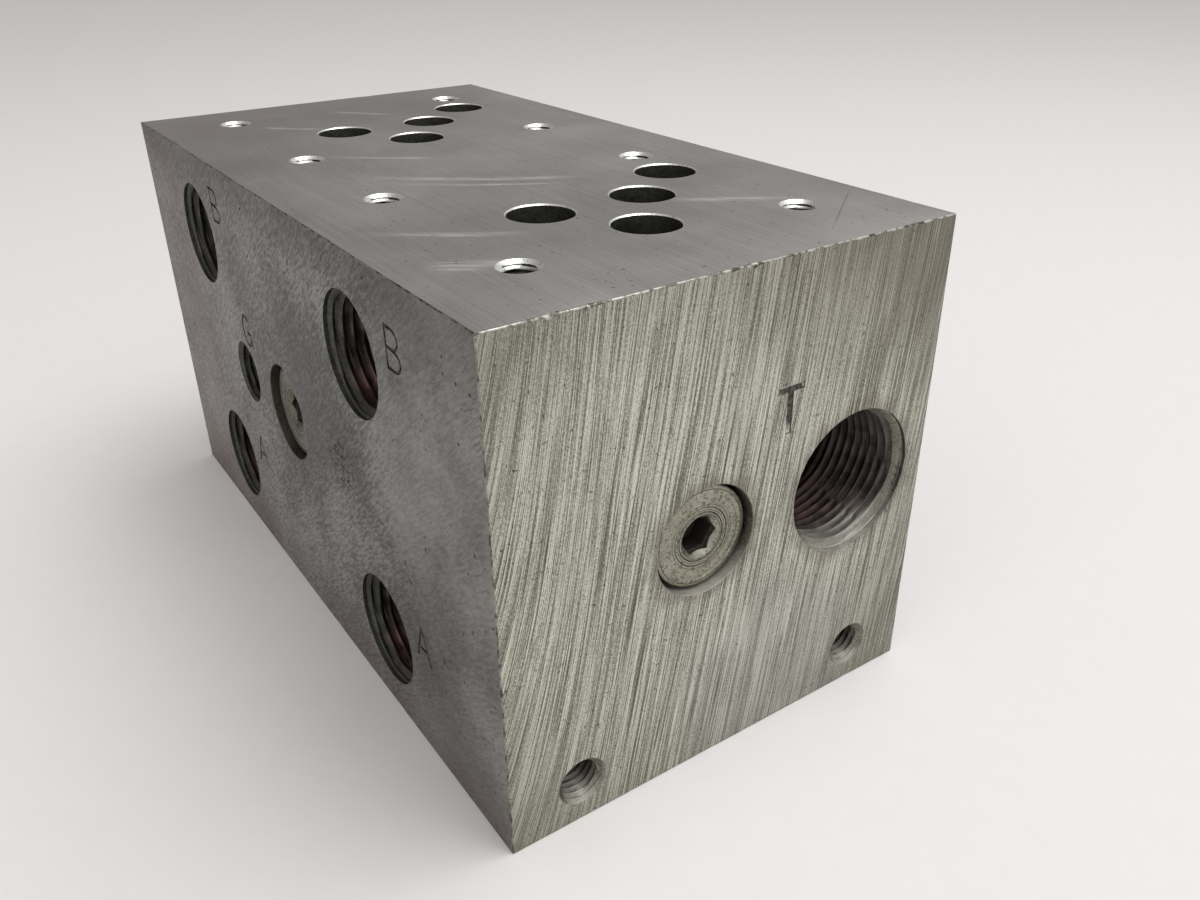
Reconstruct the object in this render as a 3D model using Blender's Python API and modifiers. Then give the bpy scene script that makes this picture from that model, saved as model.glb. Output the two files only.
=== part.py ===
"""Two-station hydraulic manifold block with screwed gallery plugs.

The block carries two directional valve faces of the ISO 4401-05 pattern side by side on
its top. A pressure gallery and a tank gallery run the whole length. Each valve face is
drilled down to both galleries and to its own pair of working ports on the front face.
Three drillings are closed by hexagon-socket screw plugs, each on a flat sealing ring that
lies in a counterbore.

Frame: metres. The origin is the centre of the base, +X points to the end with the tank
port, -Y to the face with the working ports and +Z up to the valve faces.
"""

import math

import bmesh
import bpy
from mathutils import Matrix, Vector

# ---------------------------------------------------------------- block, driving sizes
STATION_COUNT = 2
STATION_PITCH = 0.0830            # centre to centre of neighbouring valve faces
TANK_END_MARGIN = 0.0419          # last valve face centre to the tank-port end
PRESSURE_END_MARGIN = 0.0396      # first valve face centre to the pressure-port end
PORT_FACE_MARGIN = 0.04425        # valve face centre line to the working-port face
TANK_AXIS_TO_BACK = 0.01775       # tank gallery axis to the back face
BLOCK_HEIGHT = 0.0888
EDGE_BREAK = 0.0003               # small chamfer along the twelve outer edges

# ---------------------------------------------------------------- valve face, ISO 4401-05
# Places are measured from the centre of the four bolt holes: along X, then along Y.
BOLT_SPACING_X = 0.0460
BOLT_SPACING_Y = 0.0540
VALVE_PORT_DIAMETER = 0.0115
PRESSURE_PORT_PLACE = (0.0167, 0.0)
PORT_B_PLACE = (0.0016, -0.0103)
PORT_A_PLACE = (0.0016, 0.0103)
TANK_PORT_PLACE = (-0.0095, 0.0238)
M6_TAP_DIAMETER = 0.0050
M6_CHAMFER = 0.0010               # chamfer widths are measured on the radius
M6_DRILL_DEPTH = 0.0160

# ---------------------------------------------------------------- threaded ports
G34_TAP_DIAMETER = 0.0243         # G 3/4, tank and pressure port
G34_CHAMFER = 0.0013
G34_DEPTH = 0.0200
G12_TAP_DIAMETER = 0.0188         # G 1/2, working ports
G12_CHAMFER = 0.0012
G12_DEPTH = 0.0170
G12_FEED_DIAMETER = 0.0140        # drilling behind the thread
G14_TAP_DIAMETER = 0.0118         # G 1/4, gauge port and the three plugs
G14_CHAMFER = 0.0008
GAUGE_DEPTH = 0.0130
GAUGE_FEED_DIAMETER = 0.0060
M8_TAP_DIAMETER = 0.0068          # mounting holes in both ends
M8_CHAMFER = 0.0011
M8_DRILL_DEPTH = 0.0200

# ---------------------------------------------------------------- places of the side holes
PORT_B_DEPTH = 0.0178             # working port B axis below the valve face
PORT_A_HEIGHT = 0.0170            # working port A axis above the base
WORKING_PORT_SHIFT = -0.0020      # working port axes from their valve face centre, along X
GALLERY_LIFT = 0.0012             # gallery axes above the middle between ports A and B
PRESSURE_GALLERY_SHIFT = -0.0066  # pressure gallery axis from the centre line, along Y
TANK_GALLERY_SHIFT = 0.0017       # tank gallery axis from the valve faces' tank ports
GAUGE_PORT_SHIFT = 0.0172         # gauge port from the first valve face centre, along X
MOUNT_HOLE_SPACING = 0.0605
MOUNT_HOLE_HEIGHT = 0.0080

# ---------------------------------------------------------------- screw plug and its seal
PLUG_COLLAR_DIAMETER = 0.0180
PLUG_COLLAR_HEIGHT = 0.0030
PLUG_THREAD_LENGTH = 0.0120       # underside of the collar to the tip
PLUG_RECESS = 0.0014              # collar's top below the block's face
PLUG_EDGE_BREAK = 0.0004
PLUG_TIP_CHAMFER = 0.0010
HEX_ACROSS_FLATS = 0.0060
HEX_DEPTH = 0.0050
HEX_COUNTERSINK_DIAMETER = 0.0076
SEAL_BORE_CLEARANCE = 0.00125     # seal's inner edge to the shank, on the radius
SEAL_OUTER_DIAMETER = 0.0180
SEAL_THICKNESS = 0.0015
COUNTERBORE_CLEARANCE = 0.0007    # wider of collar and seal to the wall, on the radius

# ---------------------------------------------------------------- making
TOUCH_GAP = 0.0003                # left between pieces that touch
THREAD_GAP = 0.0003               # shank to tapped wall, on the radius
DRILL_OVERRUN = 0.0030            # a drilling runs this far past the axis that it meets
DRILL_POINT_ANGLE = math.radians(118)
CUTTER_OVERSHOOT = 0.0020         # cutters start this far outside the block
LARGE_PORT_SEGMENTS = 48
PORT_SEGMENTS = 40
BORE_SEGMENTS = 28
BOLT_SEGMENTS = 20
PLUG_SEGMENTS = 48
MERGE_DISTANCE = 1e-6

# ---------------------------------------------------------------- worked-out places
BLOCK_LENGTH = PRESSURE_END_MARGIN + STATION_PITCH * (STATION_COUNT - 1) + TANK_END_MARGIN
TANK_AXIS_FROM_CENTRE_LINE = TANK_PORT_PLACE[1] + TANK_GALLERY_SHIFT
BLOCK_WIDTH = PORT_FACE_MARGIN + TANK_AXIS_FROM_CENTRE_LINE + TANK_AXIS_TO_BACK

TANK_END_X = BLOCK_LENGTH / 2
PRESSURE_END_X = -BLOCK_LENGTH / 2
PORT_FACE_Y = -BLOCK_WIDTH / 2
CENTRE_LINE_Y = PORT_FACE_Y + PORT_FACE_MARGIN
STATION_XS = [
    PRESSURE_END_X + PRESSURE_END_MARGIN + STATION_PITCH * index for index in range(STATION_COUNT)
]
PORT_B_Z = BLOCK_HEIGHT - PORT_B_DEPTH
GALLERY_Z = (PORT_A_HEIGHT + PORT_B_Z) / 2 + GALLERY_LIFT
PRESSURE_GALLERY_Y = CENTRE_LINE_Y + PRESSURE_GALLERY_SHIFT
TANK_GALLERY_Y = CENTRE_LINE_Y + TANK_AXIS_FROM_CENTRE_LINE
CROSS_DRILLING_X = (STATION_XS[0] + STATION_XS[-1]) / 2

PLUG_SHANK_DIAMETER = G14_TAP_DIAMETER - 2 * THREAD_GAP
SEAL_INNER_DIAMETER = PLUG_SHANK_DIAMETER + 2 * SEAL_BORE_CLEARANCE
WIDEST_IN_COUNTERBORE = max(PLUG_COLLAR_DIAMETER, SEAL_OUTER_DIAMETER)
COUNTERBORE_DIAMETER = WIDEST_IN_COUNTERBORE + 2 * COUNTERBORE_CLEARANCE
SEAL_BOTTOM = TOUCH_GAP           # heights over the counterbore's floor
COLLAR_BOTTOM = SEAL_BOTTOM + SEAL_THICKNESS + TOUCH_GAP
COUNTERBORE_DEPTH = COLLAR_BOTTOM + PLUG_COLLAR_HEIGHT + PLUG_RECESS

TO_TANK_END = Vector((1.0, 0.0, 0.0))
TO_PRESSURE_END = Vector((-1.0, 0.0, 0.0))
TO_PORT_FACE = Vector((0.0, -1.0, 0.0))
UP = Vector((0.0, 0.0, 1.0))

# Each plug: name, centre of its counterbore's mouth, direction out of the block.
PLUGS = [
    ("pressure_gallery", Vector((TANK_END_X, PRESSURE_GALLERY_Y, GALLERY_Z)), TO_TANK_END),
    ("cross_drilling", Vector((CROSS_DRILLING_X, PORT_FACE_Y, GALLERY_Z)), TO_PORT_FACE),
    ("tank_gallery", Vector((PRESSURE_END_X, TANK_GALLERY_Y, GALLERY_Z)), TO_PRESSURE_END),
]


# ---------------------------------------------------------------- helpers
def clear_scene():
    """Remove every object that the start-up scene holds."""
    for old in list(bpy.data.objects):
        bpy.data.objects.remove(old, do_unlink=True)


def new_collection(name):
    """Add a collection to the scene."""
    collection = bpy.data.collections.new(name)
    bpy.context.scene.collection.children.link(collection)
    return collection


def make_material(name, color, roughness, metallic):
    """A Principled material with one colour."""
    material = bpy.data.materials.new(name)
    material.use_nodes = True
    shader = material.node_tree.nodes["Principled BSDF"]
    shader.inputs["Base Color"].default_value = (*color, 1.0)
    shader.inputs["Roughness"].default_value = roughness
    shader.inputs["Metallic"].default_value = metallic
    return material


def frame_out_of(mouth, outward):
    """Matrix whose origin is the mouth's centre and whose +Z points out of the block."""
    upright = TO_TANK_END if abs(outward.dot(UP)) > 0.5 else UP
    side = upright.cross(outward)
    turn = Matrix((side, upright, outward)).transposed()
    return Matrix.Translation(mouth) @ turn.to_4x4()


def turned(name, profile, segments, collection):
    """Turn a profile of (radius, height) points about Z into a closed body.

    The profile runs from the top, down the outer side, to the bottom.
    """
    mesh = bpy.data.meshes.new(name)
    points = [(radius, 0.0, height) for radius, height in profile]
    edges = [(index, index + 1) for index in range(len(points) - 1)]
    mesh.from_pydata(points, edges, [])
    piece = bpy.data.objects.new(name, mesh)
    collection.objects.link(piece)
    screw = piece.modifiers.new("turn", "SCREW")
    screw.axis = "Z"
    screw.angle = math.tau
    screw.steps = segments
    screw.render_steps = segments
    screw.use_merge_vertices = True
    screw.merge_threshold = MERGE_DISTANCE
    return piece


def hide_cutter(cutter):
    """Keep a cutter out of sight."""
    cutter.display_type = "WIRE"
    cutter.hide_render = True


def drill(cutters, name, mouth, outward, chamfer, bores, segments):
    """Make the cutter of one hole.

    The first bore's mouth is widened by a 45-degree chamfer, or left sharp if it is 0. Each
    bore is (diameter, depth), narrower than the one before, and the last ends in the
    drill's point.
    """
    first_radius = bores[0][0] / 2
    profile = [(0.0, CUTTER_OVERSHOOT)]
    if chamfer > 0:
        profile.append((first_radius + chamfer + CUTTER_OVERSHOOT, CUTTER_OVERSHOOT))
        profile.append((first_radius, -chamfer))
    else:
        profile.append((first_radius, CUTTER_OVERSHOOT))
    depth_above = None
    for diameter, depth in bores:
        if depth_above is not None:
            profile.append((diameter / 2, -depth_above))
        profile.append((diameter / 2, -depth))
        depth_above = depth
    last_radius = bores[-1][0] / 2
    point_height = last_radius / math.tan(DRILL_POINT_ANGLE / 2)
    profile.append((0.0, -depth_above - point_height))
    cutter = turned(name, profile, segments, cutters)
    cutter.matrix_world = frame_out_of(mouth, outward)
    hide_cutter(cutter)
    return cutter


def subtract(piece, cutters):
    """Cut each cutter out of a piece."""
    for cutter in cutters:
        cut = piece.modifiers.new("cut_" + cutter.name, "BOOLEAN")
        cut.operation = "DIFFERENCE"
        cut.solver = "EXACT"
        cut.object = cutter


def smooth_by_angle(piece, limit=math.radians(30)):
    """Replace a piece's modifiers by their result and shade its round faces smooth."""
    depsgraph = bpy.context.evaluated_depsgraph_get()
    result = bpy.data.meshes.new_from_object(piece.evaluated_get(depsgraph))
    piece.modifiers.clear()
    piece.data = result
    result.name = piece.name
    result.shade_smooth()
    result.set_sharp_from_angle(angle=limit)


# ---------------------------------------------------------------- the drillings
def valve_face_drillings(cutters, number, station_x):
    """Ports and bolt holes of one valve face, drilled from the top."""
    centre = Vector((station_x, CENTRE_LINE_Y, BLOCK_HEIGHT))
    ports = [
        ("pressure", PRESSURE_PORT_PLACE, GALLERY_Z),
        ("tank", TANK_PORT_PLACE, GALLERY_Z),
        ("port_a", PORT_A_PLACE, PORT_A_HEIGHT),
        ("port_b", PORT_B_PLACE, PORT_B_Z),
    ]
    made = []
    for port, place, meets_z in ports:
        depth = BLOCK_HEIGHT - meets_z + DRILL_OVERRUN
        made.append(drill(
            cutters, f"valve_{port}_{number}", centre + Vector((*place, 0.0)), UP,
            0.0, [(VALVE_PORT_DIAMETER, depth)], BORE_SEGMENTS,
        ))
    for along in (-1, 1):
        for across in (-1, 1):
            place = Vector((along * BOLT_SPACING_X / 2, across * BOLT_SPACING_Y / 2, 0.0))
            made.append(drill(
                cutters, f"valve_bolt_{number}_{along}_{across}", centre + place, UP,
                M6_CHAMFER, [(M6_TAP_DIAMETER, M6_DRILL_DEPTH)], BOLT_SEGMENTS,
            ))
    return made


def working_port_drillings(cutters, number, station_x):
    """Working ports A and B of one valve face, drilled from the front."""
    port_x = station_x + WORKING_PORT_SHIFT
    ports = [("a", PORT_A_HEIGHT, PORT_A_PLACE), ("b", PORT_B_Z, PORT_B_PLACE)]
    made = []
    for letter, height, place in ports:
        reach = CENTRE_LINE_Y + place[1] + DRILL_OVERRUN - PORT_FACE_Y
        made.append(drill(
            cutters, f"working_port_{letter}_{number}", Vector((port_x, PORT_FACE_Y, height)),
            TO_PORT_FACE, G12_CHAMFER,
            [(G12_TAP_DIAMETER, G12_DEPTH), (G12_FEED_DIAMETER, reach)], PORT_SEGMENTS,
        ))
    return made


def plugged_drilling(cutters, name, mouth, outward, length):
    """Counterbore for a plug, and the tapped drilling behind it."""
    return drill(
        cutters, f"{name}_drilling", mouth, outward, 0.0,
        [(COUNTERBORE_DIAMETER, COUNTERBORE_DEPTH), (G14_TAP_DIAMETER, length)], PORT_SEGMENTS,
    )


def gallery_drillings(cutters):
    """The two long galleries, the cross drilling, and the open end ports and gauge port."""
    end_port_bores = [(G34_TAP_DIAMETER, G34_DEPTH)]
    gallery_length = BLOCK_LENGTH - G34_DEPTH + DRILL_OVERRUN
    cross_length = PRESSURE_GALLERY_Y - PORT_FACE_Y
    lengths = [gallery_length, cross_length, gallery_length]
    made = []
    for (name, mouth, outward), length in zip(PLUGS, lengths):
        made.append(plugged_drilling(cutters, name, mouth, outward, length))
    made.append(drill(
        cutters, "tank_port", Vector((TANK_END_X, TANK_GALLERY_Y, GALLERY_Z)), TO_TANK_END,
        G34_CHAMFER, end_port_bores, LARGE_PORT_SEGMENTS,
    ))
    made.append(drill(
        cutters, "pressure_port", Vector((PRESSURE_END_X, PRESSURE_GALLERY_Y, GALLERY_Z)),
        TO_PRESSURE_END, G34_CHAMFER, end_port_bores, LARGE_PORT_SEGMENTS,
    ))
    gauge_x = STATION_XS[0] + GAUGE_PORT_SHIFT
    made.append(drill(
        cutters, "gauge_port", Vector((gauge_x, PORT_FACE_Y, GALLERY_Z)), TO_PORT_FACE,
        G14_CHAMFER,
        [(G14_TAP_DIAMETER, GAUGE_DEPTH), (GAUGE_FEED_DIAMETER, cross_length)], BORE_SEGMENTS,
    ))
    return made


def mounting_drillings(cutters):
    """Two tapped mounting holes low in each end."""
    made = []
    for end_x, outward, end in ((TANK_END_X, TO_TANK_END, "tank_end"),
                                (PRESSURE_END_X, TO_PRESSURE_END, "pressure_end")):
        for side in (-1, 1):
            mouth = Vector((end_x, side * MOUNT_HOLE_SPACING / 2, MOUNT_HOLE_HEIGHT))
            made.append(drill(
                cutters, f"mount_hole_{end}_{side}", mouth, outward, M8_CHAMFER,
                [(M8_TAP_DIAMETER, M8_DRILL_DEPTH)], BOLT_SEGMENTS,
            ))
    return made


# ---------------------------------------------------------------- the pieces
def make_block(parts, cutters):
    """The drilled steel block."""
    mesh = bpy.data.meshes.new("manifold_block")
    shape = bmesh.new()
    bmesh.ops.create_cube(shape, size=1.0)
    bmesh.ops.scale(shape, vec=(BLOCK_LENGTH, BLOCK_WIDTH, BLOCK_HEIGHT), verts=shape.verts)
    bmesh.ops.translate(shape, vec=(0.0, 0.0, BLOCK_HEIGHT / 2), verts=shape.verts)
    shape.to_mesh(mesh)
    shape.free()
    block = bpy.data.objects.new("manifold_block", mesh)
    parts.objects.link(block)
    edges = block.modifiers.new("edge_break", "BEVEL")
    edges.width = EDGE_BREAK
    edges.segments = 1
    drillings = gallery_drillings(cutters) + mounting_drillings(cutters)
    for number, station_x in enumerate(STATION_XS, start=1):
        drillings += valve_face_drillings(cutters, number, station_x)
        drillings += working_port_drillings(cutters, number, station_x)
    subtract(block, drillings)
    block.data.materials.append(make_material("block_steel", (0.46, 0.46, 0.44), 0.42, 1.0))
    return block


def make_plug(parts, cutters, name, seat):
    """Screw plug with a collar and a hexagon socket, turned about the drilling's axis.

    Heights are measured from the block's face, along the axis that leaves the block.
    """
    collar_radius = PLUG_COLLAR_DIAMETER / 2
    shank_radius = PLUG_SHANK_DIAMETER / 2
    collar_top = -PLUG_RECESS
    collar_bottom = collar_top - PLUG_COLLAR_HEIGHT
    tip = collar_bottom - PLUG_THREAD_LENGTH
    plug = turned(f"{name}_plug", [
        (0.0, collar_top),
        (collar_radius - PLUG_EDGE_BREAK, collar_top),
        (collar_radius, collar_top - PLUG_EDGE_BREAK),
        (collar_radius, collar_bottom),
        (shank_radius, collar_bottom),
        (shank_radius, tip + PLUG_TIP_CHAMFER),
        (shank_radius - PLUG_TIP_CHAMFER, tip),
        (0.0, tip),
    ], PLUG_SEGMENTS, parts)
    plug.parent = seat
    hex_radius = HEX_ACROSS_FLATS / 2 / math.cos(math.pi / 6)
    socket_mesh = bpy.data.meshes.new(f"{name}_hexagon")
    shape = bmesh.new()
    bmesh.ops.create_cone(
        shape, cap_ends=True, segments=6, radius1=hex_radius, radius2=hex_radius,
        depth=HEX_DEPTH + CUTTER_OVERSHOOT,
        matrix=Matrix.Translation((0.0, 0.0, collar_top + (CUTTER_OVERSHOOT - HEX_DEPTH) / 2)),
    )
    shape.to_mesh(socket_mesh)
    shape.free()
    hexagon = bpy.data.objects.new(f"{name}_hexagon", socket_mesh)
    cutters.objects.link(hexagon)
    sink_radius = HEX_COUNTERSINK_DIAMETER / 2
    countersink = turned(f"{name}_countersink", [
        (0.0, collar_top + CUTTER_OVERSHOOT),
        (sink_radius + CUTTER_OVERSHOOT, collar_top + CUTTER_OVERSHOOT),
        (0.0, collar_top - sink_radius),
    ], PLUG_SEGMENTS, cutters)
    for cutter in (hexagon, countersink):
        cutter.parent = seat
        hide_cutter(cutter)
    subtract(plug, [hexagon, countersink])
    plug.data.materials.append(make_material(f"{name}_plug_zinc", (0.50, 0.50, 0.47), 0.38, 1.0))
    return plug


def make_seal(parts, name, seat):
    """Flat sealing ring that lies on the counterbore's floor, under the plug's collar."""
    inner = SEAL_INNER_DIAMETER / 2
    outer = SEAL_OUTER_DIAMETER / 2
    bottom = SEAL_BOTTOM - COUNTERBORE_DEPTH
    top = bottom + SEAL_THICKNESS
    seal = turned(f"{name}_seal", [
        (inner, top), (outer, top), (outer, bottom), (inner, bottom), (inner, top),
    ], PLUG_SEGMENTS, parts)
    seal.parent = seat
    seal.data.materials.append(make_material(f"{name}_seal_metal", (0.48, 0.45, 0.40), 0.45, 1.0))
    return seal


def main():
    """Build the block, and the three plugs with their seals."""
    clear_scene()
    parts = new_collection("hydraulic_manifold_block")
    cutters = new_collection("cutters")
    pieces = [make_block(parts, cutters)]
    for name, mouth, outward in PLUGS:
        seat = bpy.data.objects.new(f"{name}_seat", None)
        parts.objects.link(seat)
        seat.matrix_world = frame_out_of(mouth, outward)
        pieces.append(make_plug(parts, cutters, name, seat))
        pieces.append(make_seal(parts, name, seat))
    bpy.context.view_layer.update()
    for piece in pieces:
        smooth_by_angle(piece)


main()
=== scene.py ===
# %% [markdown]
# # A drilled steel manifold block, its screw plugs and sealing rings
# The CAD model is loaded first and stays the fixed frame: it says where every piece goes and how
# it moves. Around it this lesson makes the surfaces that are seen: real threads in the holes,
# worn edges, stamped letters, turned plugs, and the finishes that sawing, milling and grinding leave.

# %% Load the frame
import math

import bmesh
import bpy
import numpy as np
from mathutils import Matrix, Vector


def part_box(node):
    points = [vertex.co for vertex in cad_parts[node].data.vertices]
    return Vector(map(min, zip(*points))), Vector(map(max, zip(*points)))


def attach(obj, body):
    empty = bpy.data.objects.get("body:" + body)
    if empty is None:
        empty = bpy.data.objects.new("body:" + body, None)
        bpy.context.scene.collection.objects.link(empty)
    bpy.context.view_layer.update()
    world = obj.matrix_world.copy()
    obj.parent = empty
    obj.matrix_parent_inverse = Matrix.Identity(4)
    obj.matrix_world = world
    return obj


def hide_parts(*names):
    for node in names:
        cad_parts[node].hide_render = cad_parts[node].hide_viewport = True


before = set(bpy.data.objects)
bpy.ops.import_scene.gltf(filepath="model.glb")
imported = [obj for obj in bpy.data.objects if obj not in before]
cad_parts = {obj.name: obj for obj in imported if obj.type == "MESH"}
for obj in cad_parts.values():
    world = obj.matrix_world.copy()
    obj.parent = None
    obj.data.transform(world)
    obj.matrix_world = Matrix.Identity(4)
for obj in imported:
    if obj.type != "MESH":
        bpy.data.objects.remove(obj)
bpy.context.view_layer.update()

# %% [markdown]
# ## Where the drillings are
# A block like this is bought as a sawn bar and drilled from its faces, so each hole is known by
# its mouth and its direction. All places come from the block's own box and from the drawing's
# distances in millimetres, so that they stay where the CAD model has them.

# %% Sizes of the block and places on it
MM = 0.001

low, high = (np.array(corner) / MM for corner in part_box("manifold_block"))
END_TANK = high[0]
END_PRESSURE = low[0]
PORT_FACE = low[1]
TOP = high[2]
CENTRE_LINE = PORT_FACE + 44.25
STATIONS = (END_PRESSURE + 39.6, END_TANK - 41.9)
PORT_A_HEIGHT = 17.0
PORT_B_HEIGHT = TOP - 17.8
GALLERY_HEIGHT = (PORT_A_HEIGHT + PORT_B_HEIGHT) / 2 + 1.2
PRESSURE_GALLERY = CENTRE_LINE - 6.6
TANK_GALLERY = CENTRE_LINE + 25.5
GAUGE_X = STATIONS[0] + 17.2
WORKING_PORT_SHIFT = -2.0
PORT_ACROSS = 10.3
MOUNT_HOLE_SPACING = 60.5
MOUNT_HOLE_HEIGHT = 8.0
BOLT_SPACING = (46.0, 54.0)
DRILL_OVERRUN = 3.0

TO_TANK_END = np.array((1.0, 0.0, 0.0))
TO_PRESSURE_END = np.array((-1.0, 0.0, 0.0))
TO_PORT_FACE = np.array((0.0, -1.0, 0.0))
UP = np.array((0.0, 0.0, 1.0))
print("block, mm:", (high - low).round(2), "stations at x:", np.round(STATIONS, 2))

# %% [markdown]
# ## Surfaces from formulas
# A turned or drilled surface is a grid: one parameter runs along the outline, the other around
# the axis. A modelling tool could lathe it, but a grid worked out as whole arrays lets the radius
# depend on both parameters at once, and that is what a thread and a hexagon need.


# %% Grids
def grid_faces(rows, columns, closed):
    """Quads of a grid, row by row; closed joins the last column to the first.

    A quad goes down a row before it goes on a column, so that a surface whose rows run down
    and whose columns run anticlockwise faces outwards.
    """
    row = np.arange(rows - 1)[:, None]
    column = np.arange(columns if closed else columns - 1)[None, :]
    beside = (column + 1) % columns
    corners = (row * columns + column, (row + 1) * columns + column,
               (row + 1) * columns + beside, row * columns + beside)
    return np.stack(corners, axis=-1).reshape(-1, 4).tolist()


print("a grid of 3 by 4 points has", len(grid_faces(3, 4, closed=False)), "faces")


# %% Turned surfaces
def turned(radius, height):
    """Closed surface with points at (radius cos angle, radius sin angle, height).

    radius has a row for each height and a column for each angle. A flat disc closes the first
    ring and another closes the last.
    """
    rows, columns = radius.shape
    angle = np.linspace(0.0, math.tau, columns, endpoint=False)
    level = np.broadcast_to(np.reshape(height, (rows, -1)), radius.shape)
    points = np.stack((radius * np.cos(angle), radius * np.sin(angle), level), axis=-1)
    faces = grid_faces(rows, columns, closed=True)
    faces.append(list(range(columns)))
    faces.append(list(range(rows * columns - 1, (rows - 1) * columns - 1, -1)))
    return points.reshape(-1, 3), faces


def set_out(points, mouth, outward):
    """Turn local points so that their height runs outward from the mouth, in millimetres."""
    upright = TO_TANK_END if abs(outward @ UP) > 0.5 else UP
    side = np.cross(upright, outward)
    return np.asarray(mouth) + points @ np.array((side, upright, outward))


def make_piece(name, points, faces, *finishes):
    """Put points in millimetres and faces into a mesh object at the origin."""
    mesh = bpy.data.meshes.new(name)
    mesh.from_pydata((points * MM).tolist(), [], faces)
    for finish in finishes:
        mesh.materials.append(finish)
    piece = bpy.data.objects.new(name, mesh)
    bpy.context.scene.collection.objects.link(piece)
    return piece


def face_outwards(mesh, merge_distance=0.0):
    """Turn every face outwards, after points closer than a distance in metres are merged."""
    weld = bmesh.new()
    weld.from_mesh(mesh)
    if merge_distance:
        bmesh.ops.remove_doubles(weld, verts=weld.verts, dist=merge_distance)
    bmesh.ops.recalc_face_normals(weld, faces=weld.faces)
    weld.to_mesh(mesh)
    weld.free()


disc, disc_faces = turned(np.full((2, 6), 1.0), np.array((0.0, -1.0)))
print("a turned disc of 2 rows and 6 columns:", len(disc), "points,", len(disc_faces), "faces")

# %% [markdown]
# ## The thread
# A thread is a ridge that climbs one pitch a turn. On a grid that needs no cutting tool: the
# radius simply rises and falls with height over pitch minus angle over a turn. The same formula
# serves the hole and the screw, so a plug's ridge lies in its hole's groove at every turn.


# %% Thread formula
def thread_wave(height, pitch, columns):
    """Ridge height from 0 to 1 of a right-hand thread, at each height and angle.

    It is a triangle wave of height / pitch - angle / turn, eased at its crest and root.
    """
    turns = np.reshape(height, (-1, 1)) / pitch - np.arange(columns) / columns
    rise = 1.0 - np.abs(2.0 * (turns - np.floor(turns)) - 1.0)
    return rise * rise * (3.0 - 2.0 * rise)


# Each thread: pitch, major diameter, tap-drill diameter.
THREADS = {
    "G 3/4": (1.814, 26.44, 24.3),
    "G 1/2": (1.814, 20.96, 18.8),
    "G 1/4": (1.337, 13.16, 11.8),
    "M8": (1.25, 8.0, 6.8),
    "M6": (1.0, 6.0, 5.0),
}
for title, (pitch, major, drill) in THREADS.items():
    print(f"{title}: groove {(major - drill) / 2:.2f} mm deep, {pitch} mm a turn")

# %% [markdown]
# ## Finishes: a small kit for wiring shaders
# Colour that varies over steel is arithmetic on noise. Written as expressions, it can be read
# like a formula, so one class wraps a socket and turns Python's operators into Math nodes.


# %% Shader kit
class Wire:
    """One output socket. Arithmetic with values adds Math nodes behind it."""

    def __init__(self, finish, socket):
        self.finish = finish
        self.socket = socket

    def math(self, operation, first, second):
        """Add one Math node."""
        return self.finish.node("Math", {"operation": operation}, {0: first, 1: second})

    def __add__(self, other):
        return self.math("ADD", self, other)

    def __radd__(self, other):
        return self.math("ADD", other, self)

    def __sub__(self, other):
        return self.math("SUBTRACT", self, other)

    def __rsub__(self, other):
        return self.math("SUBTRACT", other, self)

    def __mul__(self, other):
        return self.math("MULTIPLY", self, other)

    def __rmul__(self, other):
        return self.math("MULTIPLY", other, self)

    def __truediv__(self, other):
        return self.math("DIVIDE", self, other)

    def __pow__(self, other):
        return self.math("POWER", self, other)

    def __abs__(self):
        return self.math("ABSOLUTE", self, 0.0)


class Nodes:
    """A tree of shader nodes while it is wired."""

    def __init__(self, tree):
        self.tree = tree

    def feed(self, socket, value):
        """Link a wire into a socket, or set the socket to a constant."""
        if isinstance(value, Wire):
            self.tree.links.new(value.socket, socket)
        else:
            socket.default_value = value

    def node(self, kind, settings=None, sockets=None, output=0):
        """Add a node: its type, then its settings, then its sockets' values or wires."""
        made = self.tree.nodes.new("ShaderNode" + kind)
        for setting, value in (settings or {}).items():
            if setting == "stops":
                for stop, (position, colour) in zip(made.color_ramp.elements, value):
                    stop.position, stop.color = position, colour
            else:
                setattr(made, setting, value)
        for socket, value in (sockets or {}).items():
            self.feed(made.inputs[socket], value)
        return Wire(self, made.outputs[output])


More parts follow.
